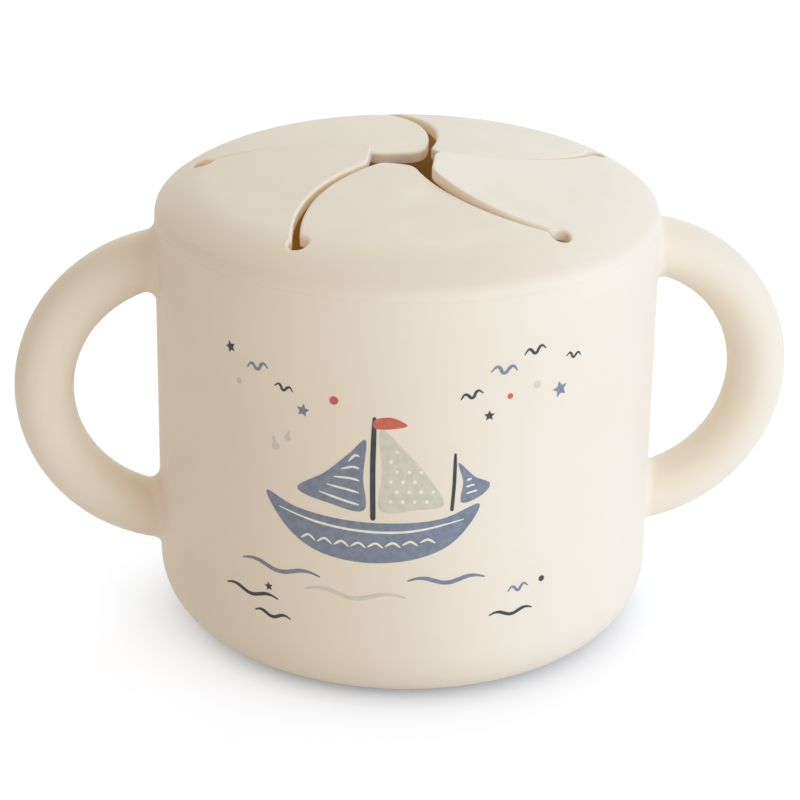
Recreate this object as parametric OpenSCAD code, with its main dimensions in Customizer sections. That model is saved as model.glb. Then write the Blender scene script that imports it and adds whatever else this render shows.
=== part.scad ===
// Toddler snack container: a soft silicone cup with two ring handles, closed by a domed silicone
// lid. Five curved slits in the lid leave five flaps that bend in for a small hand and spring back.
// Millimetres. Origin at the middle of the underside, +Z up, +X along the handles, front towards -Y.

/* [Cup] */
// Outside diameter of the cup's wall
cup_d = 88; // [82:0.5:96]
// Height of the cup, up to its seam with the lid
cup_h = 75; // [70:0.5:84]
// Thickness of the wall
cup_wall = 2.4; // [2:0.1:3]
// Thickness of the floor
cup_floor = 3; // [2.4:0.1:4]
// Outside radius from the wall into the floor
base_round = 11; // [9:0.5:13]
// Width of the flat ring that the cup stands on
foot_w = 6; // [4:0.5:9]
// Depth of the shallow recess inside that ring
foot_recess = 0.6; // [0.3:0.1:1]
// Radius on the rim's inside edge, where the lid is pressed in
mouth_round = 0.8; // [0.4:0.1:1.2]

/* [Handles] */
// Diameter of the round bar that the handles are made of
bar_d = 10.4; // [9:0.1:11]
// Radius of the ring that the bar follows, to the bar's middle
ring_r = 24.5; // [21:0.1:26]
// Clearance from the seam down to the top of the handles
handle_gap = 1.9; // [1.5:0.1:5]
// Distance of the rings' centres inside the wall's outside face
ring_inset = 4.5; // [3:0.1:7]
// Radius of the fillet where the bar runs into the wall
root_fillet = 1.8; // [1:0.1:2.2]

/* [Lid] */
// Height of the dome above the seam
dome_rise = 9.5; // [8.5:0.1:11]
// Radius of the shoulder, next to the seam
shoulder_r = 3.3; // [2.8:0.1:4]
// Angle through which the shoulder turns before the haunch takes over
shoulder_turn = 52; // [48:0.5:56]
// Radius of the haunch, between shoulder and crown
haunch_r = 18.8; // [15:0.1:21]
// Thickness of the dome
skin = 1.9; // [1.5:0.1:2.3]
// Radius on both edges of the seam
seam_round = 0.25; // [0.1:0.05:0.4]

/* [Plug] */
// Depth of the ring that the lid presses into the mouth
plug_h = 8; // [7:0.5:11]
// Thickness of that ring
plug_wall = 2; // [1.6:0.1:2.4]
// Height of the sealing ribs round it
rib_h = 0.6; // [0.4:0.05:0.8]
// Depth of the first rib below the seam
rib_start = 2.4; // [2:0.1:3]
// Distance from one rib to the next
rib_pitch = 2.8; // [2.2:0.1:3.2]
// Radius inside, from the plug into the dome
hollow_round = 3; // [2:0.1:4]

/* [Flaps] */
// Radius of the circle through the round holes at the slits' ends
slit_circle_r = 36.8; // [34:0.1:37]
// Diameter of the hole that ends a slit
slit_hole_d = 3.4; // [3:0.1:4]
// Width of a slit
slit_w = 1; // [0.7:0.05:1.2]
// Angle between a slit and its chord, which sets how strongly it curves
slit_sweep = 36; // [30:0.5:40]
// Distance from the lid's middle to the flaps' blunt tips
tip_gap = 5.5; // [4:0.1:8]
// Radius on the two corners of a tip
tip_round = 3; // [1.5:0.1:3.5]
// Radius of the rolling root that stands for a flap's bend
bend_r = 2.5; // [2.4:0.05:3]
// Depth of the bend's axis below the outside of the dome, at the middle of a root
bend_drop = 2.1; // [1.9:0.05:2.2]

/* [Fits] */
// Gap between the sealing ribs and the mouth
rib_gap = 0.08; // [0.05:0.01:0.1]
// Gap round a flap's rolling root
bend_gap = 0.1; // [0.06:0.01:0.1]

/* [Hidden] */
$fn = 96;
silicone = [0.91, 0.87, 0.79];
over = 1;                                   // how far a cut runs past what it cuts
ARC_STEPS = 8;                              // straight steps in each arc of the dome and of the flaps' tips
SIDE_STEPS = 16;                            // straight steps along each side of a flap

cup_r = cup_d / 2;
mouth_r = cup_r - cup_wall;
bar_r = bar_d / 2;
ring_z = cup_h - handle_gap - bar_r - ring_r;  // height of the rings' centres
root_turn = 68;                             // angle of a root fillet's arc, before it runs on into the bar
root_bite = bar_r / 12;                     // how deep it runs into the bar
root_reach = root_fillet * 2 / 3;           // how far out of the wall it is centred on the bar
root_sink = cup_wall / 2;                   // how deep its solid reaches into the wall
root_seat = root_fillet / 6;                // how far it is lowered to meet the round wall at its sides
root_rise = sqrt(pow(ring_r, 2) - pow(ring_inset + root_reach, 2));  // height of a root above the ring's centre

// The dome's outline: a crown, a haunch and a shoulder arc, each tangent to the next
top_z = cup_h + dome_rise;
shoulder_c = [cup_r - shoulder_r, cup_h + seam_round];
haunch_c = shoulder_c - polar(haunch_r - shoulder_r, shoulder_turn);
haunch_depth = top_z - haunch_c.y;
crown_r = (haunch_c.x * haunch_c.x + haunch_depth * haunch_depth - haunch_r * haunch_r)
    / (2 * (haunch_depth - haunch_r));
crown_c = [0, top_z - crown_r];
crown_end = asin(haunch_c.x / (crown_r - haunch_r));  // angle from the axis at which the crown ends

plug_r = mouth_r - rib_gap - rib_h;         // outside of the plug, between its ribs
hollow_r = plug_r - plug_wall;              // inside of the plug and of the lid's hollow
plug_z = cup_h - plug_h;

// The flaps, seen from above, with the front one's root square to -Y
FLAP_COUNT = 5;
step = 360 / FLAP_COUNT;
root_d = slit_circle_r * cos(step / 2);     // distance of the roots from the lid's middle
root_half = slit_circle_r * sin(step / 2);  // half of the distance between two slits' ends
bend_half = root_half - slit_w;             // half of the rolling root's length
slit_r = slit_circle_r / (2 * sin(slit_sweep));
left_c = polar(slit_r, -step / 2 - slit_sweep);
right_c = polar(slit_r, step / 2 - slit_sweep);
left_r = slit_r - slit_w / 2;               // the flap lies inside its left slit's circle
right_r = slit_r + slit_w / 2;              // and outside its right slit's circle
tip_dir = -90 - step / 2 + asin(tip_gap / (2 * slit_r));  // direction from the lid's middle to the front tip
tip_u = polar(1, tip_dir);
tip_v = polar(1, tip_dir + 90);             // along the tip's end, from its left corner to its right one
corner_left = corner(left_c, left_r - tip_round);
corner_right = corner(right_c, right_r + tip_round);
left_end = heading(corner_left - left_c);   // direction in which the flap's left side ends at the tip
right_end = heading(right_c - corner_right);
bend_z = outline_z(root_d) - bend_drop;

function polar(r, angle) = r * [cos(angle), sin(angle)];

function heading(v) = atan2(v.y, v.x);

// Direction of the hole that ends the slit on the right of flap i
function hole_angle(i) = -90 + step * (i + 0.5);

// Centre of a tip's corner: a circle crosses the line that lies tip_round inside the tip's end
function corner(c, r) =
    let (middle = (tip_gap + tip_round) * tip_u, along = (middle - c) * tip_v)
    middle - (along + sqrt(along * along - (middle - c) * (middle - c) + r * r)) * tip_v;

// Height of the dome's outside at a distance from the axis, inside the shoulder
function outline_z(x) =
    x < crown_c.x + crown_r * sin(crown_end)
        ? crown_c.y + sqrt(crown_r * crown_r - x * x)
        : haunch_c.y + sqrt(haunch_r * haunch_r - pow(x - haunch_c.x, 2));

// What rounding takes off a block's lower right corner at the origin
module corner_waste(r) {
    difference() {
        translate([-r, -over]) square([r + over, r + over]);
        translate([-r, r]) circle(r);
    }
}

// Points along an arc, from one angle to another
function arc(centre, r, from, to, steps = ARC_STEPS) =
    [for (i = [0 : steps]) centre + polar(r, from + (to - from) * i / steps)];

// The dome's outline moved inwards by inset, from an arc of edge_r that is upright at edge_x to the top
function outline(inset, edge_x, edge_r) =
    let (near = haunch_r - inset - edge_r, edge_in = edge_x - edge_r - haunch_c.x)
    let (edge_c = haunch_c + [edge_in, sqrt(near * near - edge_in * edge_in)])
    let (edge_turn = atan2(edge_c.y - haunch_c.y, edge_in))
    concat(
        arc(edge_c, edge_r, 0, edge_turn),
        arc(haunch_c, haunch_r - inset, edge_turn, 90 - crown_end),
        arc(crown_c, crown_r - inset, 90 - crown_end, 90));

// Area under that outline, down to a level
module under_dome(inset, edge_x, edge_r, bottom) {
    polygon(concat([[0, bottom], [edge_x, bottom]], outline(inset, edge_x, edge_r)));
}

module cup_area() {
    difference() {
        square([cup_r, cup_h]);
        translate([cup_r, 0]) corner_waste(base_round);
        translate([cup_r, cup_h]) mirror([0, 1]) corner_waste(seam_round);
    }
}

// The inside of the cup, with its rounded mouth
module cavity_area() {
    difference() {
        translate([0, cup_floor]) square([mouth_r, cup_h]);
        translate([mouth_r, cup_floor]) corner_waste(base_round - cup_wall);
    }
    translate([mouth_r, cup_h]) mirror([1, 1]) rotate(-90) corner_waste(mouth_round);
}

// A bar's root on the wall, flared like a fillet; +Z leads away from the wall
module root_flare() {
    wide = bar_r + root_fillet * sin(root_turn);
    end_z = root_fillet * (1 - cos(root_turn)) + root_bite * tan(root_turn);
    rotate_extrude()
        polygon(concat(
            [[0, end_z], [0, -root_sink], [wide, -root_sink]],
            arc([wide, root_fillet], root_fillet, -90, -90 - root_turn),
            [[bar_r - root_bite, end_z]]));
}

module handle() {
    translate([cup_r - ring_inset, 0, ring_z])
        rotate([90, 0, 0])
            rotate_extrude() translate([ring_r, 0]) circle(bar_r);
    for (up = [-1, 1])
        translate([cup_r - root_seat, 0, ring_z + up * root_rise]) rotate([0, 90, 0]) root_flare();
}

// The cup and its handles are one moulding
module cup() {
    color(silicone)
        difference() {
            union() {
                rotate_extrude() cup_area();
                handle();
                mirror([1, 0, 0]) handle();
            }
            rotate_extrude() cavity_area();
            translate([0, 0, -over]) cylinder(r = cup_r - base_round - foot_w, h = over + foot_recess);
        }
}

// Ring that presses into the mouth, with a round lower edge and two sealing ribs
module plug_area() {
    translate([hollow_r, plug_z + plug_wall / 2]) square([plug_wall, plug_h]);
    translate([hollow_r + plug_wall / 2, plug_z + plug_wall / 2]) circle(plug_wall / 2);
    for (row = [0, 1])
        translate([plug_r, cup_h - rib_start - row * rib_pitch]) circle(rib_h);
}

module lid_area() {
    difference() {
        union() {
            difference() {
                under_dome(0, cup_r, shoulder_r, cup_h);
                translate([cup_r, cup_h]) corner_waste(seam_round);
            }
            plug_area();
        }
        under_dome(skin, hollow_r, hollow_round, plug_z - over);
    }
}

// Outline of the front flap between its two slits, with its blunt tip and the strip of its root
module flap_area() {
    strip = -root_d - bend_r - over;
    polygon(concat(
        [[left_c.x - left_r, strip]],
        arc(left_c, left_r, 180, left_end, SIDE_STEPS),
        arc(corner_left, tip_round, left_end, tip_dir + 180),
        arc(corner_right, tip_round, tip_dir + 180, right_end),
        arc(right_c, right_r, right_end + 180, 180 + asin(root_d / right_r), SIDE_STEPS),
        [[bend_half, -root_d], [bend_half, strip]]));
}

// Round bar along the front flap's root
module bend(r, half) {
    translate([-half, -root_d, bend_z]) rotate([0, 90, 0]) cylinder(r = r, h = 2 * half);
}

module slit_holes() {
    for (i = [0 : FLAP_COUNT - 1])
        rotate(hole_angle(i))
            translate([slit_circle_r, 0, cup_h]) cylinder(d = slit_hole_d, h = dome_rise + over);
}

module lid() {
    color(silicone)
        difference() {
            rotate_extrude() lid_area();
            translate([0, 0, cup_h])
                linear_extrude(dome_rise + over)
                    polygon([for (i = [0 : FLAP_COUNT - 1]) polar(slit_circle_r, hole_angle(i))]);
            for (i = [0 : FLAP_COUNT - 1])
                rotate(step * i) bend(bend_r + bend_gap, (root_half + bend_half) / 2);
            slit_holes();
        }
}

// The front flap turned to one of the five places, counted anticlockwise from above
module flap(place) {
    color(silicone)
        rotate(step * place)
            difference() {
                intersection() {
                    rotate_extrude() under_dome(0, cup_r, shoulder_r, cup_h);
                    translate([0, 0, cup_h]) linear_extrude(dome_rise + over) flap_area();
                    union() {
                        translate([-cup_r, -root_d, cup_h]) cube([cup_d, cup_d, dome_rise + over]);
                        bend(bend_r, root_half);
                    }
                }
                rotate_extrude() under_dome(skin, hollow_r, hollow_round, cup_h - over);
                slit_holes();
            }
}

cup();
lid();
flap(0);  // flap_front
flap(1);  // flap_right
flap(2);  // flap_back_right
flap(3);  // flap_back_left
flap(4);  // flap_left
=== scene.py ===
import math
import bmesh
import bpy
import numpy as np
from mathutils import Matrix, Vector
from mathutils.geometry import delaunay_2d_cdt


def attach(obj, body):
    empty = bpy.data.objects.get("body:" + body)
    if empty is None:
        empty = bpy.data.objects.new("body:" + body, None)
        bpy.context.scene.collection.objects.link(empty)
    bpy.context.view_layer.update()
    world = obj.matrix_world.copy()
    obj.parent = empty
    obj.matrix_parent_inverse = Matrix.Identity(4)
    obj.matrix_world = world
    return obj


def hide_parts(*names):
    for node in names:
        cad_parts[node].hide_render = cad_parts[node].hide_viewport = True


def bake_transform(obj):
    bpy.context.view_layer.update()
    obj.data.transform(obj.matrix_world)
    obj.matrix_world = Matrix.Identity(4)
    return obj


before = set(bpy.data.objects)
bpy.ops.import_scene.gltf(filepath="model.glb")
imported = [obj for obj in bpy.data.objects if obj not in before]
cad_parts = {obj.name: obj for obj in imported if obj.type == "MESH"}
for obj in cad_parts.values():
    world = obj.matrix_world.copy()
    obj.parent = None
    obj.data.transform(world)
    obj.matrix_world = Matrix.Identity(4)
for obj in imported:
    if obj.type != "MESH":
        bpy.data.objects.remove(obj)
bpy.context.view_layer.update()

# ---------------------------------------------------------------- sizes, in mm
# All are the part's own, apart from SEAM_ROUND: 0.25 there, and finer here, since no seam shows
CUP_R, CUP_H, WALL, FLOOR = 44.0, 75.0, 2.4, 3.0
BASE_ROUND, FOOT_W, RECESS, MOUTH_ROUND = 11.0, 6.0, 0.6, 0.8
BAR_R, RING_R, RING_X, RING_Z, ROOT_FILLET = 5.2, 24.5, 39.5, 43.4, 1.8
RISE, SHOULDER_R, SHOULDER_TURN, HAUNCH_R, SKIN = 9.5, 3.3, 52.0, 18.8, 1.9
SEAM_ROUND, PLUG_H, PLUG_WALL, HOLLOW_ROUND = 0.05, 8.0, 2.0, 3.0
RIB_H, RIB_START, RIB_PITCH, RIB_GAP = 0.6, 2.4, 2.8, 0.08
SLIT_CIRCLE, SLIT_W, HOLE_R, SWEEP = 36.8, 1.0, 1.7, 36.0
BEND_DROP = 2.1
FLAPS = ["flap_front", "flap_right", "flap_back_right", "flap_back_left", "flap_left"]

# ---------------------------------------------------------------- how finely things are made
COLUMNS = 192                       # columns of points round the cup and the lid
TURN = 360.0 / COLUMNS              # degrees from one column to the next
SLOPE_STEP = 0.02                   # distance over which a surface's slope is taken
MERGE_SHIFT = 0.00037               # keeps round numbers clear of the limits where points merge
BORDER_ROOM = 0.55                  # how near an inner point may come to a border, in spacings
TINY = 1e-12                        # stands in for a length of nothing
UPRIGHT = np.eye(3)


def polar(r, angle):
    """Plan points at a distance and at angles in degrees."""
    a = np.radians(angle)
    return np.stack([r * np.cos(a), r * np.sin(a)], -1) + 0.0    # + 0.0 does away with -0.0


def heading(v):
    return math.degrees(math.atan2(v[1], v[0]))


def unit(v):
    v = np.asarray(v, float)
    return v / np.maximum(np.linalg.norm(v, axis=-1, keepdims=True), TINY)


def steps(a, b, n):
    """Even steps from a to b: n of them, so n + 1 values."""
    return [a + (b - a) * i / n for i in range(n + 1)]


def arc_profile(c, r, a, b, n):
    """Points along an arc from a to b degrees, in n steps."""
    return [tuple(np.array(c) + polar(r, t)) for t in steps(a, b, n)]


# ---------------------------------------------------------------- the dome's outline
MOUTH_R = CUP_R - WALL
PLUG_R = MOUTH_R - RIB_GAP - RIB_H
HOLLOW_R = PLUG_R - PLUG_WALL
TOP_Z = CUP_H + RISE
SHOULDER_C = np.array([CUP_R - SHOULDER_R, CUP_H + SEAM_ROUND])
HAUNCH_C = SHOULDER_C - polar(HAUNCH_R - SHOULDER_R, SHOULDER_TURN)
HAUNCH_DEPTH = TOP_Z - HAUNCH_C[1]
CROWN_R = ((HAUNCH_C[0] ** 2 + HAUNCH_DEPTH ** 2 - HAUNCH_R ** 2)
           / (2 * (HAUNCH_DEPTH - HAUNCH_R)))
CROWN_Z = TOP_Z - CROWN_R
CROWN_END = math.degrees(math.asin(HAUNCH_C[0] / (CROWN_R - HAUNCH_R)))
EDGE_IN = HOLLOW_R - HOLLOW_ROUND - HAUNCH_C[0]
EDGE_UP = math.sqrt((HAUNCH_R - SKIN - HOLLOW_ROUND) ** 2 - EDGE_IN ** 2)
EDGE_C = HAUNCH_C + np.array([EDGE_IN, EDGE_UP])
EDGE_TURN = heading(EDGE_C - HAUNCH_C)


def dome(xy, inset, edge_c, edge_r, edge_turn):
    """Height over plan points of the dome's outside, or of its inside where inset is the skin."""
    r = np.hypot(xy[..., 0], xy[..., 1])
    crown_r, haunch_r = CROWN_R - inset, HAUNCH_R - inset
    crown = CROWN_Z + np.sqrt(np.maximum(crown_r ** 2 - r * r, 0))
    haunch = HAUNCH_C[1] + np.sqrt(np.maximum(haunch_r ** 2 - (r - HAUNCH_C[0]) ** 2, 0))
    edge = edge_c[1] + np.sqrt(np.maximum(edge_r ** 2 - (r - edge_c[0]) ** 2, 0))
    crown_out = crown_r * math.sin(math.radians(CROWN_END))
    haunch_out = HAUNCH_C[0] + haunch_r * math.cos(math.radians(edge_turn))
    return np.where(r < crown_out, crown, np.where(r < haunch_out, haunch, edge))


def dome_top(xy):
    return dome(xy, 0, SHOULDER_C, SHOULDER_R, SHOULDER_TURN)


def dome_under(xy):
    return dome(xy, SKIN, EDGE_C, HOLLOW_ROUND, EDGE_TURN)


def slope_normal(surface, xy):
    """Upward normal of a height field, by small differences."""
    d = SLOPE_STEP
    gx = (surface(xy + [d, 0]) - surface(xy - [d, 0])) / (2 * d)
    gy = (surface(xy + [0, d]) - surface(xy - [0, d])) / (2 * d)
    return unit(np.stack([-gx, -gy, np.ones_like(gx)], -1))


# ---------------------------------------------------------------- mesh making
class Form:
    """Points in mm, faces, and a normal for each point that has one of its own."""

    def __init__(self):
        self.points, self.normals, self.faces, self.flat = [], [], [], []
        self.count = 0

    def add(self, points, normals=None):
        """Takes up points and gives back their numbers, in the same shape."""
        points = np.asarray(points, float)
        if normals is None:
            normals = np.zeros_like(points)
        self.points.append(points.reshape(-1, 3))
        self.normals.append(np.asarray(normals, float).reshape(-1, 3))
        first = self.count
        self.count += len(self.points[-1])
        return np.arange(first, self.count).reshape(points.shape[:-1])

    def face(self, corners, flat=False):
        self.faces.append([int(c) for c in corners])
        self.flat.append(flat)

    def rows(self, grid, closed=False, flat=False):
        """Quads between the rows of a grid of point numbers."""
        wide = grid.shape[1]
        for a, b in zip(grid[:-1], grid[1:]):
            for i in range(wide if closed else wide - 1):
                j = (i + 1) % wide
                self.face([a[i], a[j], b[j], b[i]], flat)

    def build(self, name, material, sharp):
        """The object, with points that agree to 0.001 mm merged, and edges over an angle sharp."""
        points = np.concatenate(self.points)
        normals = np.concatenate(self.normals)
        key = np.round(points + MERGE_SHIFT, 3)
        _, first, back = np.unique(key, axis=0, return_index=True, return_inverse=True)
        back = back.reshape(-1)
        faces, flat = [], []
        for face, is_flat in zip(self.faces, self.flat):
            ring = []
            for c in back[face]:
                if not ring or c != ring[-1]:
                    ring.append(int(c))
            if len(ring) > 1 and ring[0] == ring[-1]:
                ring.pop()
            if len(set(ring)) > 2:
                faces.append(ring)
                flat.append(is_flat)
        own = np.zeros((len(first), 3))
        np.add.at(own, back, normals)
        mesh = bpy.data.meshes.new(name)
        mesh.from_pydata([tuple(p) for p in points[first] * 0.001], [], faces)
        mesh.validate()
        work = bmesh.new()
        work.from_mesh(mesh)
        bmesh.ops.recalc_face_normals(work, faces=work.faces[:])
        work.to_mesh(mesh)
        work.free()
        mesh.polygons.foreach_set("use_smooth", [True] * len(mesh.polygons))
        mesh.set_sharp_from_angle(angle=math.radians(sharp))
        if np.any(own):
            loops = np.zeros((len(mesh.loops), 3))
            for poly, is_flat in zip(mesh.polygons, flat):
                for li in poly.loop_indices:
                    loops[li] = poly.normal if is_flat else own[mesh.loops[li].vertex_index]
            given = np.abs(loops).sum(1, keepdims=True) > 0
            mesh.normals_split_custom_set([tuple(v) for v in unit(loops) * given])
        mesh.materials.append(material)
        obj = bpy.data.objects.new(name, mesh)
        bpy.context.scene.collection.objects.link(obj)
        return obj


def inside(loops, xy):
    """True where a point has an odd number of the loops round it."""
    hit = np.zeros(len(xy), bool)
    for loop in loops:
        for p, q in zip(loop, np.roll(loop, -1, axis=0)):
            if p[1] == q[1]:
                continue
            crosses = (p[1] > xy[:, 1]) != (q[1] > xy[:, 1])
            at = p[0] + (xy[:, 1] - p[1]) * (q[0] - p[0]) / (q[1] - p[1])
            hit ^= crosses & (xy[:, 0] < at)
    return hit


def fill(loops, spacing):
    """Triangles that fill the area between closed loops of plan points: (extra points,
    triangles), numbered with the loops' own points first."""
    border = np.concatenate(loops)
    low, high = border.min(0), border.max(0)
    ys = np.arange(low[1] + spacing / 2, high[1], spacing * math.sqrt(3) / 2)
    spots = [(x + (row % 2) * spacing / 2, y) for row, y in enumerate(ys)
             for x in np.arange(low[0] - spacing / 2, high[0] + spacing / 2, spacing)]
    spots = np.array(spots).reshape(-1, 2)
    spots = spots[inside(loops, spots)]
    edges, first = [], 0
    for loop in loops:
        for p, q in zip(loop, np.roll(loop, -1, axis=0)):
            line = q - p
            t = np.clip(((spots - p) @ line) / max(line @ line, TINY), 0, 1)
            away = np.linalg.norm(spots - p - t[:, None] * line, axis=1)
            spots = spots[away > BORDER_ROOM * spacing]
        n = len(loop)
        edges += [(first + i, first + (i + 1) % n) for i in range(n)]
        first += n
    everything = np.concatenate([border, spots])
    _, _, faces, sources, _, _ = delaunay_2d_cdt([Vector(p) for p in everything], edges, [],
                                                 0, 1e-7, True)
    triangles = np.array([[sources[c][0] for c in face] for face in faces])
    corners = everything[triangles]
    keep = inside(loops, corners.mean(1))
    # A sliver outside a straight run of the border can pass for inside; it goes, because a
    # border edge has one face
    (ax, ay), (bx, by) = (corners[:, 1] - corners[:, 0]).T, (corners[:, 2] - corners[:, 0]).T
    area = np.abs(ax * by - ay * bx)
    beside = {tuple(sorted(edge)): [] for edge in edges}
    for i in np.flatnonzero(keep):
        for j in range(3):
            side = tuple(sorted((int(triangles[i][j]), int(triangles[i][j - 1]))))
            beside.get(side, []).append(i)
    for sharing in beside.values():
        if len(sharing) > 1:
            keep[min(sharing, key=lambda i: area[i])] = False
    return spots, triangles[keep]


def lay(form, surface, xy, down=False, spin=UPRIGHT):
    """Points on a height field with its normals, or with those of its underside, then turned."""
    n = slope_normal(surface, xy)
    return form.add(np.column_stack([xy, surface(xy)]) @ spin, (-n if down else n) @ spin)


def sheet(form, loops, numbers, surface, down, spacing, spin=UPRIGHT):
    """A height field over the area between loops whose points are already in the form."""
    spots, triangles = fill(loops, spacing)
    numbers = np.concatenate([*numbers, lay(form, surface, spots, down, spin)])
    for t in triangles:
        form.face(numbers[t])


def revolve(form, profile, columns):
    """Rows of points round the axis at the given angles."""
    a = np.radians(columns)
    grid = [np.stack([r * np.cos(a), r * np.sin(a), np.full_like(a, z)], -1) for r, z in profile]
    return form.add(np.array(grid))


# ---------------------------------------------------------------- materials
def linear(rgb):
    """A colour given as it looks on a screen, 0 to 255, in Blender's own scale."""
    c = np.array(rgb) / 255.0
    c = np.where(c <= 0.04045, c / 12.92, ((c + 0.055) / 1.055) ** 2.4)
    return (*[float(v) for v in c], 1.0)


def new_material(name):
    material = bpy.data.materials.new(name)
    material.use_nodes = True
    return material, material.node_tree.nodes, material.node_tree.links


def add_node(nodes, kind, inputs):
    """A shader node with values for some of its inputs."""
    node = nodes.new("ShaderNode" + kind)
    for name, value in inputs.items():
        node.inputs[name].default_value = value
    return node


def add_math(nodes, links, operation, *terms):
    """The output of a Math node, whose terms are numbers or other nodes' outputs."""
    node = nodes.new("ShaderNodeMath")
    node.operation = operation
    for socket, term in zip(node.inputs, terms):
        if isinstance(term, float):
            socket.default_value = term
        else:
            links.new(term, socket)
    return node.outputs[0]


# Matte moulded silicone has a faint drift of colour, a satin skin and a fine grain. Printed ink is
# thin, matte and slightly mottled, and the silicone's grain shows through it. Drift, waves and
# grain are noises, as (scale, detail); without waves of its own, the gloss follows the drift
SILICONE_SKIN = dict(
    shader={"IOR": 1.43, "Specular IOR Level": 0.4, "Sheen Weight": 0.12, "Sheen Roughness": 0.5},
    drift=(28.0, 3.0), stops=(0.3, 0.7), waves=(160.0, 2.0),
    gloss={"From Min": 0.3, "From Max": 0.7, "To Min": 0.5, "To Max": 0.6},
    grain=(1500.0, 2.0), bump={"Strength": 0.12, "Distance": 0.0001})
INK_SKIN = dict(
    shader={"Specular IOR Level": 0.3},
    drift=(900.0, 4.0), stops=(0.35, 0.62),
    gloss={"To Min": 0.48, "To Max": 0.66},
    grain=(2200.0, 2.0), bump={"Strength": 0.1, "Distance": 0.0001})


def skin_material(name, skin, tone, deep):
    """A matte skin that drifts between two tones, with an uneven gloss and a fine grain."""
    material, nodes, links = new_material(name)
    shader = nodes["Principled BSDF"]
    for socket, value in skin["shader"].items():
        shader.inputs[socket].default_value = value
    where = nodes.new("ShaderNodeTexCoord")

    def noise(scale, detail):
        texture = add_node(nodes, "TexNoise", {"Scale": scale, "Detail": detail})
        links.new(where.outputs["Object"], texture.inputs["Vector"])
        return texture.outputs["Fac"]

    drift = noise(*skin["drift"])
    waves = noise(*skin["waves"]) if "waves" in skin else drift
    ramp = nodes.new("ShaderNodeValToRGB")
    for stop, position, colour in zip(ramp.color_ramp.elements, skin["stops"], (deep, tone)):
        stop.position = position
        stop.color = linear(colour)
    links.new(drift, ramp.inputs["Fac"])
    links.new(ramp.outputs["Color"], shader.inputs["Base Color"])
    gloss = add_node(nodes, "MapRange", skin["gloss"])
    links.new(waves, gloss.inputs["Value"])
    links.new(gloss.outputs["Result"], shader.inputs["Roughness"])
    bump = add_node(nodes, "Bump", skin["bump"])
    links.new(noise(*skin["grain"]), bump.inputs["Height"])
    links.new(bump.outputs["Normal"], shader.inputs["Normal"])
    return material


GAP_GLOW_REACH = 0.009                  # how far a lip looks for what shuts it in, in metres
CREAM = (240, 229, 209), (236, 224, 203)


def silicone(name, glow, strength):
    """Cream silicone with a painted glow of its own, the same all over."""
    material = skin_material(name, SILICONE_SKIN, *CREAM)
    shader = material.node_tree.nodes["Principled BSDF"]
    shader.inputs["Emission Color"].default_value = (*glow, 1)
    shader.inputs["Emission Strength"].default_value = strength
    return material


def painted_gap_glow(name, strength, glow=(1.0, 0.70, 0.34)):
    """Cream silicone with a painted warm glow in narrow gaps, standing in for the light that soaks
    through.
    """
    material = silicone(name, glow, 0.0)
    nodes, links = material.node_tree.nodes, material.node_tree.links
    near = add_node(nodes, "AmbientOcclusion", {"Distance": GAP_GLOW_REACH})
    near.samples = 8
    # The painted glow is most where a lip is half shut in, little on open skin and little deep in a
    # slit
    shut = add_math(nodes, links, "SUBTRACT", 1.0, near.outputs["AO"])
    both = add_math(nodes, links, "MULTIPLY", near.outputs["AO"], shut)
    level = add_math(nodes, links, "MULTIPLY", both, 4 * strength)
    links.new(level, nodes["Principled BSDF"].inputs["Emission Strength"])
    return material


SILICONE = skin_material("cream_silicone", SILICONE_SKIN, *CREAM)
# The lid's silicone carries a painted warm glow in its narrow gaps
LID_SILICONE = painted_gap_glow("silicone_lid", 0.09)
# How strong the painted glow on a flap's lips is goes by how it hangs against the light
FLAP_SILICONE = {"flap_right": painted_gap_glow("silicone_flap_right", 0.02),
                 "flap_back_left": painted_gap_glow("silicone_flap_back_left", 0.11, (1.0, 0.80, 0.44))}

# ---------------------------------------------------------------- the cup with its two handles
PATCH = 6                           # half of a root patch's columns and rows
CELL = 1.35                         # height of one of its rows
ROOT_HIGH = CUP_H - 0.25            # upper edge of the upper patch, just under the rim
ROOT_LOW = RING_Z * 2 - ROOT_HIGH   # lower edge of the lower one, its mirror image
FOOT_R = CUP_R - BASE_ROUND         # outer edge of the foot ring
FOOT_IN = FOOT_R - FOOT_W           # its inner edge
FOOT_EDGE, RECESS_EDGE = 0.15, 0.3  # roundings of that edge, and of the recess's corner above it
RECESS_ROWS = (5.0, 10.0, 15.0, 20.0, 24.0)     # radii of the rows of points across the recess
FLOOR_ROWS = (27.0, 21.0, 15.0, 10.0, 5.0)      # and of those across the floor inside

wall_z = ([ROOT_LOW + CELL * k for k in range(2 * PATCH)]
          + steps(ROOT_LOW + CELL * 2 * PATCH, ROOT_HIGH - CELL * 2 * PATCH, 24)[:-1]
          + [ROOT_HIGH - CELL * k for k in range(2 * PATCH, -1, -1)])
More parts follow.
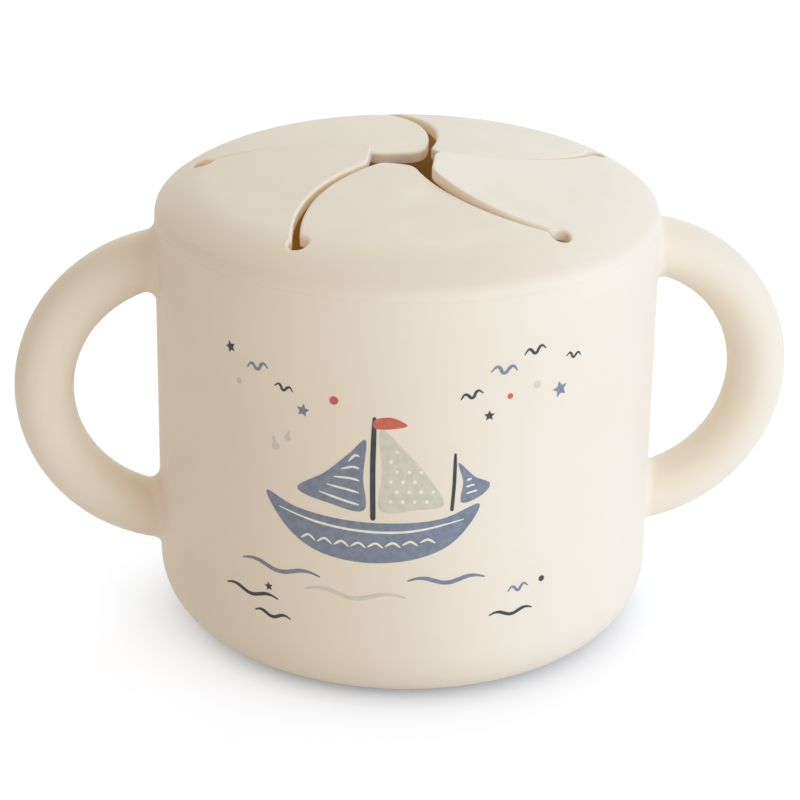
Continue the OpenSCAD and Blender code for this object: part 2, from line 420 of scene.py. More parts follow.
# Profiles are (distance from the axis, height): under the cup, up its side, and over its rim and
# down to the floor inside
under_profile = (
    [(r, RECESS) for r in RECESS_ROWS]
    + arc_profile((FOOT_IN - RECESS_EDGE, RECESS - RECESS_EDGE), RECESS_EDGE, 90, 0, 3)
    + arc_profile((FOOT_IN + FOOT_EDGE, FOOT_EDGE), FOOT_EDGE, 180, 270, 2)
    + [((FOOT_IN + FOOT_R) / 2, 0.0)]
    + arc_profile((FOOT_R, BASE_ROUND), BASE_ROUND, 270, 360, 20))
side_profile = [under_profile.pop()] + [(CUP_R, z) for z in wall_z]  # it takes over the last point
inner_profile = (
    arc_profile((CUP_R - SEAM_ROUND, CUP_H - SEAM_ROUND), SEAM_ROUND, 0, 90, 4)[1:]
    + [(CUP_R - 1.0, CUP_H)]
    + arc_profile((MOUTH_R + MOUTH_ROUND, CUP_H - MOUTH_ROUND), MOUTH_ROUND, 90, 180, 6)
    + [(MOUTH_R, z) for z in steps(CUP_H - MOUTH_ROUND, FLOOR + BASE_ROUND - WALL, 32)[1:-1]]
    + arc_profile((FOOT_R, FLOOR + BASE_ROUND - WALL), BASE_ROUND - WALL, 0, -90, 14)
    + [(r, FLOOR) for r in FLOOR_ROWS])


def ring_point(t, phi, out):
    """A point at out from the handle's centre line, t round the ring and phi round the bar."""
    n = np.stack([np.cos(t), np.zeros_like(t), np.sin(t)], -1)
    centre = np.array([RING_X, 0, RING_Z]) + RING_R * n
    across = np.array([0, 1.0, 0])
    return centre + out * (np.cos(phi)[..., None] * n + np.sin(phi)[..., None] * across)


def handle(form, upper, lower):
    """Bar and root fillets between two loops of wall points, which run the same way round."""
    edge = np.concatenate(form.points)[upper]
    arc = np.arctan2(edge[:, 1], edge[:, 0]) * CUP_R
    phi = np.arctan2(arc, edge[:, 2] - (ROOT_HIGH - CELL * PATCH))
    # A ball rolls in the corner between the bar and the round wall; halving finds where it touches
    low, high = np.full_like(phi, math.radians(20)), np.full_like(phi, math.radians(120))
    for _ in range(60):
        t = (low + high) / 2
        q = ring_point(t, phi, BAR_R + ROOT_FILLET)
        out = np.hypot(q[:, 0], q[:, 1]) > CUP_R + ROOT_FILLET
        low, high = np.where(out, t, low), np.where(out, high, t)
    q = ring_point(t, phi, BAR_R + ROOT_FILLET)
    on_bar = ring_point(t, phi, BAR_R)
    on_wall = q * np.array([CUP_R / (CUP_R + ROOT_FILLET)] * 2 + [1.0])
    rings = []
    for f in (1 / 3, 2 / 3):        # on the wall, from the patch's edge to the fillet
        az = (1 - f) * arc / CUP_R + f * np.arctan2(on_wall[:, 1], on_wall[:, 0])
        z = (1 - f) * edge[:, 2] + f * on_wall[:, 2]
        rings.append(np.stack([CUP_R * np.cos(az), CUP_R * np.sin(az), z], -1))
    a, b = unit(on_wall - q), unit(on_bar - q)
    angle = np.arccos(np.clip((a * b).sum(1), -1, 1))[:, None]
    for f in steps(0, 1, 7):
        between = np.sin((1 - f) * angle) * a + np.sin(f * angle) * b
        rings.append(q + ROOT_FILLET * between / np.sin(angle))
    mirrored = [ring * [1, 1, -1] + [0, 0, 2 * RING_Z] for ring in rings[::-1]]
    bar = [ring_point(t * (1 - 2 * f), phi, BAR_R) for f in steps(0, 1, 48)[1:-1]]
    grid = form.add(np.array(rings + bar + mirrored))
    form.rows(np.concatenate([[upper], grid, [lower]]), closed=True)


def cup_form():
    form = Form()
    half = COLUMNS // 4
    columns = np.arange(-half, half + 1) * TURN
    under, side, top = (revolve(form, profile, columns)
                        for profile in (under_profile, side_profile, inner_profile))
    form.rows(np.concatenate([under, side[:1]]))
    left, right = half - PATCH, half + PATCH
    last = len(side) - 1
    root_rows = [(1, 1 + 2 * PATCH), (last - 2 * PATCH, last)]
    for i in range(last):
        for j in range(len(columns) - 1):
            if left <= j < right and any(a <= i < b for a, b in root_rows):
                continue
            form.face([side[i, j], side[i, j + 1], side[i + 1, j + 1], side[i + 1, j]])
    form.rows(np.concatenate([side[-1:], top]))

    def border(near, far):
        """A root patch's border, along its near row and round."""
        step = 1 if far > near else -1
        return np.concatenate([
            side[near][left:right], [side[i][right] for i in range(near, far, step)],
            side[far][right:left:-1], [side[i][left] for i in range(far, near, -step)]])

    (bottom_a, bottom_b), (top_a, top_b) = root_rows
    handle(form, border(top_b, top_a), border(bottom_a, bottom_b))
    for row, z in ((under[0], RECESS), (top[-1], FLOOR)):
        pole = form.add([[0, 0, z]])[0]
        for j in range(len(columns) - 1):
            form.face([row[j], row[j + 1], pole])
    # The other half is its mirror image
    count = form.count
    points = np.concatenate(form.points)
    form.add(points * [-1, 1, 1])
    for face, flat in list(zip(form.faces, form.flat)):
        form.face([c + count for c in face[::-1]], flat)
    return form


cup = cup_form().build("cup_body", SILICONE, sharp=50)
# Inside, the floor and the faces that look inwards carry a painted warm glow, standing in for the
# light that soaks through
cup.data.materials.append(silicone("silicone_inside_painted_glow", (1.0, 0.45, 0.03), 0.04))
for polygon in cup.data.polygons:
    x, y, z = (1000 * c for c in polygon.center)
    turned_in = polygon.normal.x * x + polygon.normal.y * y < 0 or polygon.normal.z > 0.5
    if math.hypot(x, y) < CUP_R - 1 and z > FLOOR - 0.1 and turned_in:
        polygon.material_index = 1
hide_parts("cup")
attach(cup, "cup")

# ---------------------------------------------------------------- the print on the front of the cup
# Plan points are (mm round the wall to the right of the front's middle, mm up)
INK_BACK = -0.02                    # how far the ink's back lies out of the wall: a little inside
INK_OUT, CORAL_OUT, WHITE_OUT = 0.04, 0.05, 0.06  # and its front; white lies over the other inks
INK_SPACING = 1.3


def wrapped(uz, out):
    a = np.radians(-90) + uz[:, 0] / CUP_R
    r = CUP_R + out
    return np.column_stack([r * np.cos(a), r * np.sin(a), uz[:, 1]])


def placed(shape, u, z, tilt):
    """A small shape, turned and moved to its place."""
    x, y = np.asarray(shape, float).T
    c, s = math.cos(math.radians(tilt)), math.sin(math.radians(tilt))
    return np.column_stack([u + c * x - s * y, z + s * x + c * y])


def curve(points, closed=True, per=10):
    """A smooth line through points, with so many points per stretch."""
    p = np.array(points, float)
    n = len(p)
    out = []
    for i in range(n if closed else n - 1):
        if closed:
            a, b, c, d = p[i - 1], p[i], p[(i + 1) % n], p[(i + 2) % n]
        else:
            a, b, c, d = p[max(i - 1, 0)], p[i], p[i + 1], p[min(i + 2, n - 1)]
        for t in np.arange(per) / per:
            out.append(0.5 * (2 * b + (c - a) * t + (2 * a - 5 * b + 4 * c - d) * t * t
                              + (3 * b - a - 3 * c + d) * t ** 3))
    return np.array(out if closed else out + [p[-1]])


def spaced(loop, gap=1.1):
    """The same closed outline with no side longer than gap."""
    out = []
    for p, q in zip(loop, np.roll(loop, -1, axis=0)):
        n = max(1, math.ceil(np.linalg.norm(q - p) / gap))
        out += [p + (q - p) * i / n for i in range(n)]
    return np.array(out)


def stroke(points, width, taper):
    """A brush line along a smooth curve, with round ends. Taper is each end's share of the
    width."""
    line = curve(points, closed=False, per=8)
    along = unit(np.gradient(line, axis=0))
    side = np.column_stack([-along[:, 1], along[:, 0]])
    f = np.linspace(0, 1, len(line))
    half = width / 2 * (taper[0] + (1 - taper[0]) * np.minimum(f * 4, 1)) \
        * (taper[1] + (1 - taper[1]) * np.minimum((1 - f) * 4, 1))
    left, right = line + side * half[:, None], line - side * half[:, None]

    def cap(centre, r, start):
        a = np.radians(start - np.array([45, 90, 135]))
        return centre + r * np.column_stack([np.cos(a), np.sin(a)])

    end = cap(line[-1], half[-1], heading(side[-1]))
    front = cap(line[0], half[0], heading(-side[0]))
    return np.concatenate([left, end, right[::-1], front])


def dot(u, z, wide, n=18):
    a = np.radians(np.arange(n) * 360 / n)
    return np.column_stack([u + wide / 2 * np.cos(a), z + wide / 2 * np.sin(a)])


def star(u, z, size, tilt):
    out = []
    for i in range(10):
        a = math.radians(90 + tilt + 36 * i)
        r = size / 2 * (1 if i % 2 == 0 else 0.48)
        out.append((u + r * math.cos(a), z + r * math.sin(a)))
    return np.array(out)


def drop(u, z, long, wide, tilt):
    """A drop with its point up, before it is turned."""
    shape = curve([(0, 0.55), (0.2, 0.1), (0.36, -0.22), (0, -0.45), (-0.36, -0.22), (-0.2, 0.1)],
                  per=5)
    return placed(shape * [wide, long], u, z, tilt)


def gull(u, z, size, tilt):
    wing = size * np.array([(-1, 0.05), (-0.64, 0.42), (-0.36, 0.32), (-0.13, -0.01),
                            (0.13, -0.01), (0.38, 0.34), (0.68, 0.46), (1, 0.12)])
    return stroke(placed(wing, u, z, tilt), size * 0.26, (0.35, 0.35))


def ripple(u, z, long, high, width=0.75):
    """A wave of one and a half turns."""
    points = [(u + long * f, z + high * math.sin(f * 2 * math.pi * 1.5)) for f in steps(0, 1, 9)]
    return stroke(points, width, (0.35, 0.35))


def ink(name, material, out, outlines):
    form = Form()
    for outline in outlines:
        loop = spaced(outline)
        spots, triangles = fill([loop], INK_SPACING)
        plan = np.concatenate([loop, spots])
        top, low = form.add(wrapped(plan, out)), form.add(wrapped(plan, INK_BACK))
        for t in triangles:
            form.face(top[t])
            form.face(low[t[::-1]])
        n = len(loop)
        form.rows(np.array([top[:n], low[:n]]), closed=True)
    obj = form.build(name, material, sharp=30)
    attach(obj, "cup")


BLUE, CHARCOAL, SAND, WHITE, CORAL = (
    skin_material(name, INK_SKIN, tone, deep) for name, tone, deep in (
        ("ink_slate_blue", (136, 143, 156), (122, 130, 144)),
        ("ink_charcoal", (70, 75, 77), (61, 66, 68)),
        ("ink_sand", (217, 212, 193), (208, 202, 182)),
        ("ink_white", (246, 241, 226), (236, 230, 215)),
        ("ink_coral", (211, 112, 92), (198, 101, 82))))

hull = curve([(-29.5, 38.6), (-24, 36.9), (-16, 35.9), (-7, 35.8), (1, 36.6), (7.2, 38.9),
              (5.2, 34.6), (1.2, 31.0), (-5, 28.9), (-13, 28.3), (-20.5, 29.6), (-26, 33.2)])
main_sail = curve([(-9.3, 52.6), (-5.0, 48.7), (-1.2, 44.0), (1.2, 39.2), (-3.4, 38.3),
                   (-9.2, 38.1), (-9.0, 45)])
jib = curve([(-11.8, 50.6), (-12.2, 44), (-12.0, 38.0), (-17.5, 38.5), (-23.6, 40.4),
             (-18.6, 44.2), (-14.6, 48)])
small_sail = curve([(3.6, 46.6), (4.4, 43.2), (4.2, 39.4), (7.6, 40.4), (9.0, 42.4), (6.4, 43.9)])
flag = curve([(-10.3, 54.4), (-7.6, 54.9), (-5.0, 53.6), (-7.4, 52.9), (-10.3, 52.9)])
masts = [stroke([(-10.5, 36.6), (-10.6, 46), (-10.4, 54.6)], 0.9, (1, 0.7)),
         stroke([(2.6, 38.2), (2.9, 43), (3.0, 48.2)], 0.6, (1, 0.7))]
hull_line = stroke([(-27.0, 36.3), (-20, 34.8), (-12, 34.1), (-4, 34.4), (4.6, 36.3)],
                   0.42, (0.4, 0.4))
scallops = [stroke([(-22.9 + 2.9 * i, 31.4 - 0.25 * i + 0.055 * i * i),
                    (-21.6 + 2.9 * i, 32.2 - 0.25 * i + 0.05 * i * i),
                    (-20.4 + 2.9 * i, 31.3 - 0.22 * i + 0.05 * i * i)], 0.4, (0.4, 0.4))
            for i in range(8)]
jib_lines = [stroke([(-12.9, 38.9 + 2.2 * i), (-15.2 + 0.4 * i, 39.4 + 2.1 * i),
                     (-19.6 + 1.25 * i, 40.5 + 1.55 * i)], 0.4, (0.5, 0.4)) for i in range(5)]
sail_dots = [dot(-7.6 + 2.0 * i + (row % 2), 39.8 + 1.8 * row, 0.62, n=10) for row in range(6)
             for i in range(4 - row // 2 - (1 if row > 3 else 0))]
small_lines = [stroke([(5.0, 41.0 + 1.2 * i), (6.8 - 0.5 * i, 41.4 + 1.1 * i)], 0.34, (0.5, 0.5))
               for i in range(3)]

ink("print_blue", BLUE, INK_OUT, [
    hull, jib, small_sail, ripple(-34.6, 24.6, 15.0, 0.55), ripple(-4.5, 25.2, 13.0, 0.5),
    gull(-31.2, 60.2, 2.1, 8), gull(11.0, 62.0, 2.3, -6), star(21.8, 57.0, 3.0, 12),
    star(-22.6, 54.6, 2.4, -8), gull(14.8, 21.6, 1.9, 4)])
ink("print_sand", SAND, INK_OUT, [
    main_sail, ripple(-22.0, 22.0, 17.0, 0.6), drop(-27.8, 47.6, 2.6, 2.2, 14),
    drop(-25.3, 49.4, 2.0, 1.7, -10), dot(17.2, 58.8, 1.3), dot(-35.2, 57.0, 1.1)])
ink("print_charcoal", CHARCOAL, INK_OUT, masts + [
    gull(-26.2, 57.6, 1.7, -10), gull(5.6, 58.2, 1.9, 12), gull(16.6, 64.6, 2.0, 6),
    star(-37.0, 62.6, 2.2, 20), star(8.6, 54.6, 1.9, 0), gull(24.4, 62.2, 1.6, -12),
    ripple(-38.4, 18.6, 11.0, 0.45, 0.65), ripple(-32.0, 15.4, 7.0, 0.4, 0.6),
    star(-29.2, 20.6, 1.7, 10), ripple(9.6, 17.6, 8.0, 0.4, 0.6), dot(19.4, 22.6, 1.1)])
ink("print_white", WHITE, WHITE_OUT, [hull_line] + scallops + jib_lines + sail_dots + small_lines)
ink("print_coral", CORAL, CORAL_OUT, [flag, dot(-17.2, 57.2, 1.5), dot(12.2, 57.6, 1.0)])

# ---------------------------------------------------------------- the front flap's plan
STEP = 72.0                         # degrees from one flap to the next
ROOT_D = SLIT_CIRCLE * math.cos(math.radians(STEP / 2))
ROOT_HALF = SLIT_CIRCLE * math.sin(math.radians(STEP / 2))
SLIT_R = SLIT_CIRCLE / (2 * math.sin(math.radians(SWEEP)))
LEFT_C, RIGHT_C = polar(SLIT_R, -STEP / 2 - SWEEP), polar(SLIT_R, STEP / 2 - SWEEP)
LEFT_R, RIGHT_R = SLIT_R - SLIT_W / 2, SLIT_R + SLIT_W / 2
LEFT_HOLE, RIGHT_HOLE = np.array([-ROOT_HALF, -ROOT_D]), np.array([ROOT_HALF, -ROOT_D])
BEND_Z = float(dome_top(np.array([0, ROOT_D]))) - BEND_DROP
FLARE = 1.4                         # rounding where a slit opens into its hole
EDGE = 0.5                          # rounding of the upper edges of slits and holes
EDGE_STEPS = [math.radians(a) for a in steps(0, 90, 5)]
SPLIT_OUT = 1.0                     # how far the split between ring and flap runs out from a hole
SPLIT_LEFT, SPLIT_RIGHT = -45.0, 225.0  # directions in which it leaves the left and right holes
FINE, MIDDLE, COARSE = 0.15, 0.3, 0.9   # distances between points along arcs


def meet(c1, r1, c2, r2, near):
    """The one of two circles' crossings that lies nearest to a point."""
    d = np.linalg.norm(c2 - c1)
    a = (d * d + r1 * r1 - r2 * r2) / (2 * d)
    u = (c2 - c1) / d
    h = math.sqrt(r1 * r1 - a * a) * np.array([-u[1], u[0]])
    return min((c1 + a * u + h, c1 + a * u - h), key=lambda p: np.linalg.norm(p - near))


def arc_chain(c, r, a, b, side, spacing):
    """Points along an arc, the short way, and the directions into the silicone: side is 1
    outside the circle and -1 inside it."""
    b = a + (b - a + 180) % 360 - 180
    n = max(2, math.ceil(math.radians(abs(b - a)) * r / spacing))
    out = polar(1, np.array(steps(a, b, n)))
    return c + r * out, side * out


def flap_plan(gap, round_left, round_right, skew=0.0, thin_left=0.0, thin_right=0.0):
    """The free edge of the front flap, from its right hole round the tip to its left hole:
    points, and the directions into the flap. Gap is from the lid's middle to the blunt end, skew
    turns that end, and a thinner side leaves its slit wider."""
    left_r, right_r = LEFT_R - thin_left, RIGHT_R + thin_right
    end = -90 - STEP / 2 + math.degrees(math.asin(gap / (2 * SLIT_R))) + skew
    u, v = polar(1, end), polar(1, end + 90)

    def corner(c, r, rounding):
        middle = (gap + rounding) * u
        along = (middle - c) @ v
        return middle - (along + math.sqrt(along ** 2 - (middle - c) @ (middle - c) + r * r)) * v

    left = corner(LEFT_C, left_r - round_left, round_left)
    right = corner(RIGHT_C, right_r + round_right, round_right)
    flare_right = meet(RIGHT_HOLE, HOLE_R + FLARE, RIGHT_C, right_r + FLARE,
                       RIGHT_HOLE + [-2, -0.5])
    flare_left = meet(LEFT_HOLE, HOLE_R + FLARE, LEFT_C, left_r - FLARE, LEFT_HOLE + [1, 2])
    chain = [arc_chain(*arc) for arc in (
        (RIGHT_HOLE, HOLE_R, SPLIT_RIGHT, heading(flare_right - RIGHT_HOLE), 1, MIDDLE),
        (flare_right, FLARE, heading(RIGHT_HOLE - flare_right), heading(RIGHT_C - flare_right),
         -1, FINE),
        (RIGHT_C, right_r, heading(flare_right - RIGHT_C), heading(right - RIGHT_C), 1, COARSE),
        (right, round_right, heading(RIGHT_C - right), end + 180, -1, MIDDLE),
        (left, round_left, end + 180, heading(left - LEFT_C), -1, MIDDLE),
        (LEFT_C, left_r, heading(left - LEFT_C), heading(flare_left - LEFT_C), -1, COARSE),
        (flare_left, FLARE, heading(flare_left - LEFT_C), heading(LEFT_HOLE - flare_left),
         -1, FINE),
        (LEFT_HOLE, HOLE_R, heading(flare_left - LEFT_HOLE), SPLIT_LEFT, 1, MIDDLE))]
    # An arc starts where the last one ends, unless a straight end runs between the tip's corners
    straight = np.linalg.norm(chain[3][0][-1] - chain[4][0][0]) > 0.2
    whole = (0, 4) if straight else (0,)
    return [np.concatenate([part[i] if n in whole else part[i][1:]
                            for n, part in enumerate(chain)]) for i in (0, 1)]


# The ring's share of the right hole's edge: points, and directions into the silicone
ring_in = polar(1, np.array(steps(SPLIT_RIGHT, 360 + SPLIT_LEFT + STEP, 18)))
ring_xy = RIGHT_HOLE + HOLE_R * ring_in


def split_path(start):
    """The split's points from left hole to right, from a distance out from the holes' edges."""
    outs = [start] + [d for d in (EDGE, 0.75, SPLIT_OUT) if d > start + 1e-9]
    left = [LEFT_HOLE + polar(HOLE_R + d, SPLIT_LEFT) for d in outs]
    right = [RIGHT_HOLE + polar(HOLE_R + d, SPLIT_RIGHT) for d in outs[::-1]]
    middle = [left[-1] + (right[0] - left[-1]) * f for f in steps(0, 1, 34)[1:-1]]
    return np.array(left + middle + right)


split_top, split_low = split_path(EDGE), split_path(0)


def free_edge(form, xy, into, top, under, spin):
    """Rows of points down a rounded free edge: the upper round, the wall and its lower edge."""
    grid, normals = [], []
    up = slope_normal(top, xy)
    out = np.column_stack([-into, np.zeros(len(into))])
    for a in EDGE_STEPS:
        p = xy + into * EDGE * (1 - math.sin(a))
        grid.append(np.column_stack([p, top(p) - EDGE * (1 - math.cos(a))]))
        normals.append(unit(math.cos(a) * up + math.sin(a) * out))
    low, high = under(xy), top(xy) - EDGE
    grid.append(np.column_stack([xy, (low + high) / 2]))
    normals.append(out)
    grid.append(np.column_stack([xy, low]))
    normals.append(out * 0)
    return form.add(np.array(grid) @ spin, np.array(normals) @ spin)


def turned(angle):
    """Matrix that turns row vectors anticlockwise about Z."""
    c, s = math.cos(math.radians(angle)), math.sin(math.radians(angle))
    return np.array([[c, s, 0], [-s, c, 0], [0, 0, 1.0]])


def split_wall(form, path_top, path_low, left_band, right_band):
    """Flat faces down the split, with the rounded edges' sections at its ends."""
    form.rows(np.array([path_top, path_low[1:-1]]), flat=True)
    form.face(list(left_band) + [path_low[1], path_top[0]], flat=True)
    form.face(list(right_band) + [path_low[-2], path_top[-1]], flat=True)


# ---------------------------------------------------------------- the lid's ring, with its plug
LID_TOP_R, LID_LOW_R = 41.0, 38.75  # where the dome's outer and inner skins give way to the profile
LEDGE_ROUND = 0.3                   # radius from the ledge into the plug
RIB_FOOT = 0.12                     # how far a rib runs out into the plug, above and below
RING_SPACING, FLAP_SPACING = 1.3, 1.1


def lid_form():
    form = Form()
    top_loop, top_numbers, low_loop, low_numbers = [], [], [], []
    fifths = []
    for k in range(len(FLAPS)):
        spin = turned(STEP * k)
        tops = lay(form, dome_top, split_top, False, spin)
        lows = lay(form, dome_under, split_low, True, spin)
        band = free_edge(form, ring_xy, ring_in, dome_top, dome_under, spin)
        form.rows(band)
        fifths.append((tops, lows, band))
        flat_spin = spin[:2, :2]
        top_loop += [split_top[:-1] @ flat_spin, (ring_xy + ring_in * EDGE)[:-1] @ flat_spin]
        top_numbers += [tops[:-1], band[0][:-1]]
        low_loop += [split_low[:-1] @ flat_spin, ring_xy[:-1] @ flat_spin]
        low_numbers += [lows[:-1], band[-1][:-1]]
    for k, (tops, lows, band) in enumerate(fifths):
        split_wall(form, tops, lows, fifths[k - 1][2][:, -1], band[:, 0])
    columns = np.arange(COLUMNS) * TURN
    rims = []
    for r, surface, down, loop, numbers in (
            (LID_TOP_R, dome_top, False, top_loop, top_numbers),
            (LID_LOW_R, dome_under, True, low_loop, low_numbers)):
        rim = polar(r, columns)
        rims.append([lay(form, surface, rim, down)])
        sheet(form, [rim, np.concatenate(loop)], [*rims[-1], np.concatenate(numbers)],
              surface, down, RING_SPACING)
    haunch_end = math.degrees(math.acos((LID_TOP_R - HAUNCH_C[0]) / HAUNCH_R))
    edge_end = math.degrees(math.acos((LID_LOW_R - EDGE_C[0]) / HOLLOW_ROUND))
    plug_end = CUP_H - PLUG_H + PLUG_WALL / 2
    ledge_in = PLUG_R + LEDGE_ROUND
    profile = (
        arc_profile(HAUNCH_C, HAUNCH_R, haunch_end, SHOULDER_TURN, 2)[1:-1]
        + arc_profile(SHOULDER_C, SHOULDER_R, SHOULDER_TURN, 0, 12)
        + arc_profile((CUP_R - SEAM_ROUND, CUP_H + SEAM_ROUND), SEAM_ROUND, 0, -90, 4)[1:]
        + [(CUP_R - 1.5, CUP_H), (ledge_in, CUP_H)]
        + arc_profile((ledge_in, CUP_H - LEDGE_ROUND), LEDGE_ROUND, 90, 180, 3)[1:])
    for row in (0, 1):
        z = CUP_H - RIB_START - row * RIB_PITCH
        profile += ([(PLUG_R, z + RIB_H + RIB_FOOT)] + arc_profile((PLUG_R, z), RIB_H, 78, -78, 8)
                    + [(PLUG_R, z - RIB_H - RIB_FOOT)])
    profile += (
        arc_profile((PLUG_R - PLUG_WALL / 2, plug_end), PLUG_WALL / 2, 0, -180, 14)
        + [(HOLLOW_R, z) for z in steps(plug_end, EDGE_C[1], 6)[1:-1]]
        + arc_profile(EDGE_C, HOLLOW_ROUND, 0, edge_end, 4)[:-1])
    form.rows(np.concatenate([rims[0], revolve(form, profile, columns), rims[1]]), closed=True)
    return form


lid = lid_form().build("lid_ring", LID_SILICONE, sharp=50)
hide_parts("lid")
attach(lid, "lid")

# ---------------------------------------------------------------- the five flaps
# Each flap's free edge, and how it rests: the tip's height over the dome, and how much higher its
# right side lies than its left
PLANS = {
    "flap_front": dict(gap=4.3, round_left=2.4, round_right=3.6, skew=7.0,
                       thin_left=-0.15, thin_right=-0.6),
    "flap_right": dict(gap=4.7, round_left=4.8, round_right=2.8, skew=38.0, thin_left=0.15),
    "flap_back_right": dict(gap=6.45, round_left=2.2, round_right=3.0, skew=3.0, thin_right=0.65),
    "flap_back_left": dict(gap=5.6, round_left=4.4, round_right=3.0,
                           thin_left=-0.2, thin_right=-0.25),
    "flap_left": dict(gap=6.7, round_left=3.0, round_right=3.0, thin_left=-0.25, thin_right=0.4)}
REST = {"flap_front": (0.5, 0.25), "flap_right": (2.4, 0.0), "flap_back_right": (0.1, 0.0),
        "flap_back_left": (-0.8, 0.0), "flap_left": (0.9, 0.0)}
LIFT_OUT, LIFT_IN, LIFT_POWER = 0.9, 3, 1.7  # a flap's rise: from outside its root to near its tip
TILT_FROM, TILT_OVER = 4, 8         # the tilt runs over 8 mm of the tip's width, from x = -4


def resting(xy, tip, tilt):
    """How far a flap's point lies over the dome, from nothing at the root."""
    v = np.clip((xy[..., 1] + ROOT_D + LIFT_OUT) / (ROOT_D - LIFT_IN), 0, None) ** LIFT_POWER
    return v * (tip + tilt * (xy[..., 0] + TILT_FROM) / TILT_OVER)


def flap_form(k, plan, tip, tilt):
    edge_xy, edge_in = flap_plan(**plan)

    def top(xy):
        return dome_top(xy) + resting(xy, tip, tilt)

    def under(xy):
        return dome_under(xy) + resting(xy, tip, tilt)

    form = Form()
    spin = turned(STEP * k)
    band = free_edge(form, edge_xy, edge_in, top, under, spin)
    form.rows(band)
    tops = lay(form, top, split_top, False, spin)
    lows = lay(form, under, split_low, True, spin)
    split_wall(form, tops, lows, band[:, -1], band[:, 0])
    for edge, edge_numbers, path, numbers, surface, down in (
            (edge_xy + edge_in * EDGE, band[0], split_top, tops, top, False),
            (edge_xy, band[-1], split_low, lows, under, True)):
        sheet(form, [np.concatenate([edge[:-1], path[:-1]])], [edge_numbers[:-1], numbers[:-1]],
              surface, down, FLAP_SPACING, spin)
    return form


for k, name in enumerate(FLAPS):
    material = FLAP_SILICONE.get(name, LID_SILICONE)
    flap = flap_form(k, PLANS[name], *REST[name]).build(name + "_skin", material, sharp=50)
    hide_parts(name)
    way = polar(1, -90 + STEP * k)
    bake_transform(flap)

# ---------------------------------------------------------------- floor, light and camera
CONTACT_REACH = 0.022               # how far from the cup its painted contact shadow starts, in metres


def split_by_eye(nodes, links, lit, seen, output):
    """One shader for the light a thing gives, and another where the thing itself is seen: in the
    picture, in a reflection or through glass."""
    path = nodes.new("ShaderNodeLightPath")
    eye = path.outputs["Is Camera Ray"]
    for ray in ("Is Glossy Ray", "Is Transmission Ray"):
        eye = add_math(nodes, links, "MAXIMUM", eye, path.outputs[ray])
    mix = nodes.new("ShaderNodeMixShader")
    for socket, source in zip(mix.inputs, (eye, lit.outputs[0], seen.outputs[0])):
        links.new(source, socket)
    links.new(mix.outputs[0], nodes[output].inputs["Surface"])


def floor_material():
    """White floor. Where it is seen it glows, and close to the cup the glow sinks in a painted
    contact shadow.
    """
    material, nodes, links = new_material("floor_white")
    nodes.remove(nodes["Principled BSDF"])
    matte = add_node(nodes, "BsdfDiffuse", {"Color": (0.9, 0.9, 0.9, 1)})
    # Painted contact shadow: the floor's glow sinks where the cup shuts the floor in
    near = add_node(nodes, "AmbientOcclusion", {"Distance": CONTACT_REACH})
    shut = add_math(nodes, links, "SUBTRACT", 1.0, near.outputs["AO"])
    close = add_math(nodes, links, "POWER", shut, 2.5)
    level = add_math(nodes, links, "MULTIPLY_ADD", close, -0.62, 0.765)
    level.node.use_clamp = True
    glow = nodes.new("ShaderNodeEmission")
    links.new(level, glow.inputs["Strength"])
    shaded = add_node(nodes, "BsdfDiffuse", {"Color": (0.34, 0.35, 0.374, 1)})
    seen = nodes.new("ShaderNodeAddShader")
    links.new(shaded.outputs[0], seen.inputs[0])
    links.new(glow.outputs[0], seen.inputs[1])
    split_by_eye(nodes, links, matte, seen, "Material Output")
    return material


floor_mesh = bpy.data.meshes.new("floor")
floor_mesh.from_pydata([(-3, -3, 0), (3, -3, 0), (3, 3, 0), (-3, 3, 0)], [], [(0, 1, 2, 3)])
floor_mesh.materials.append(floor_material())
floor = bpy.data.objects.new("floor", floor_mesh)
bpy.context.scene.collection.objects.link(floor)

# The room gives a warm light, and is white where it is seen
world = bpy.data.worlds.new("studio")
bpy.context.scene.world = world
world.use_nodes = True
nodes, links = world.node_tree.nodes, world.node_tree.links
room = nodes["Background"]
room.inputs["Color"].default_value = (1.0, 0.881, 0.772, 1)
room.inputs["Strength"].default_value = 0.559
white = add_node(nodes, "Background", {"Color": (1, 1, 1, 1)})
split_by_eye(nodes, links, room, white, "World Output")

# Name, place in metres, power, width and colour of each lamp, fitted to the photo's tones
for name, place, watts, size, colour in (
        ("side", (1.25, -0.45, 0.3), 5.6, 0.55, (0.403, 0.546, 1.0)),
        ("front", (0.8, -1.0, 0.42), 7.15, 0.8, (0.711, 0.861, 1.0)),
        ("back", (0.25, 0.9, 0.9), 6.6, 1.0, (0.62, 0.82, 0.97)),
        ("fill", (-0.1, -1.3, 0.1), 1.2, 0.8, (0.96, 0.88, 0.74))):
    data = bpy.data.lights.new(name, "AREA")
    data.shape, data.size = "DISK", size
    data.energy = watts
    data.color = colour
    lamp = bpy.data.objects.new(name, data)
    lamp.location = place
    aim = Vector((0, 0, 0.04)) - Vector(place)
    lamp.rotation_euler = aim.to_track_quat("-Z", "Y").to_euler()
    bpy.context.scene.collection.objects.link(lamp)

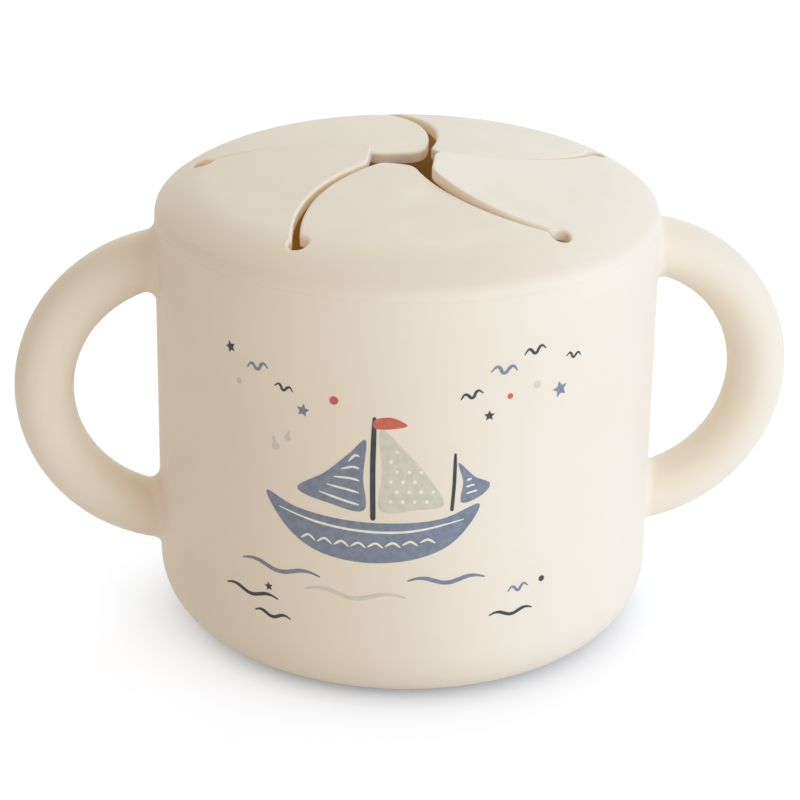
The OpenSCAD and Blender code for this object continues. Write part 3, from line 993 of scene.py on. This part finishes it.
# The camera was fitted to the photo's outline, handles and slit holes: focal length in pixels,
# distance in mm from the point it circles, elevation, yaw and roll in degrees, and that point's
# place in the picture, in pixels from its middle
CAM_F, CAM_D, CAM_E, CAM_YAW, CAM_ROLL = 2780.4, 498.36, 23.469, 7.213, 0.901
CAM_TX, CAM_TY = 4.66, -5.50
CAM_Z = 40                          # height of that point, in mm
PICTURE, SENSOR = 800, 36.0         # width of the picture in pixels, and of the sensor in mm


def camera_rows():
    """The camera's right, up and forward directions, and its place in mm."""
    e, yaw = math.radians(CAM_E), math.radians(CAM_YAW)
    a, b = math.atan2(CAM_TX, CAM_F), math.atan2(CAM_TY, math.hypot(CAM_F, CAM_TX))
    r_yaw = [[math.cos(yaw), -math.sin(yaw), 0], [math.sin(yaw), math.cos(yaw), 0], [0, 0, 1]]
    r_e = [[1, 0, 0], [0, math.sin(e), math.cos(e)], [0, math.cos(e), -math.sin(e)]]
    r_a = [[math.cos(a), 0, math.sin(a)], [0, 1, 0], [-math.sin(a), 0, math.cos(a)]]
    r_b = [[1, 0, 0], [0, math.cos(b), -math.sin(b)], [0, math.sin(b), math.cos(b)]]
    right, up, forward = np.array(r_b) @ np.array(r_a) @ np.array(r_e) @ np.array(r_yaw)
    roll = math.radians(CAM_ROLL)
    right, up = (right * math.cos(roll) + up * math.sin(roll),
                 up * math.cos(roll) - right * math.sin(roll))
    out = CAM_D * math.cos(e)
    place = (-out * math.sin(yaw), -out * math.cos(yaw), CAM_Z + CAM_D * math.sin(e))
    return right, up, forward, place


data = bpy.data.cameras.new("camera")
data.sensor_width = SENSOR
data.lens = CAM_F * SENSOR / PICTURE
camera = bpy.data.objects.new("camera", data)
right, up, forward, place = camera_rows()
pose = Matrix.Identity(4)
for row in range(3):
    pose[row][0], pose[row][1], pose[row][2] = right[row], up[row], -forward[row]
    pose[row][3] = place[row] * 0.001
camera.matrix_world = pose
bpy.context.scene.collection.objects.link(camera)
bpy.context.scene.camera = camera

bpy.context.scene.view_settings.view_transform = "Standard"
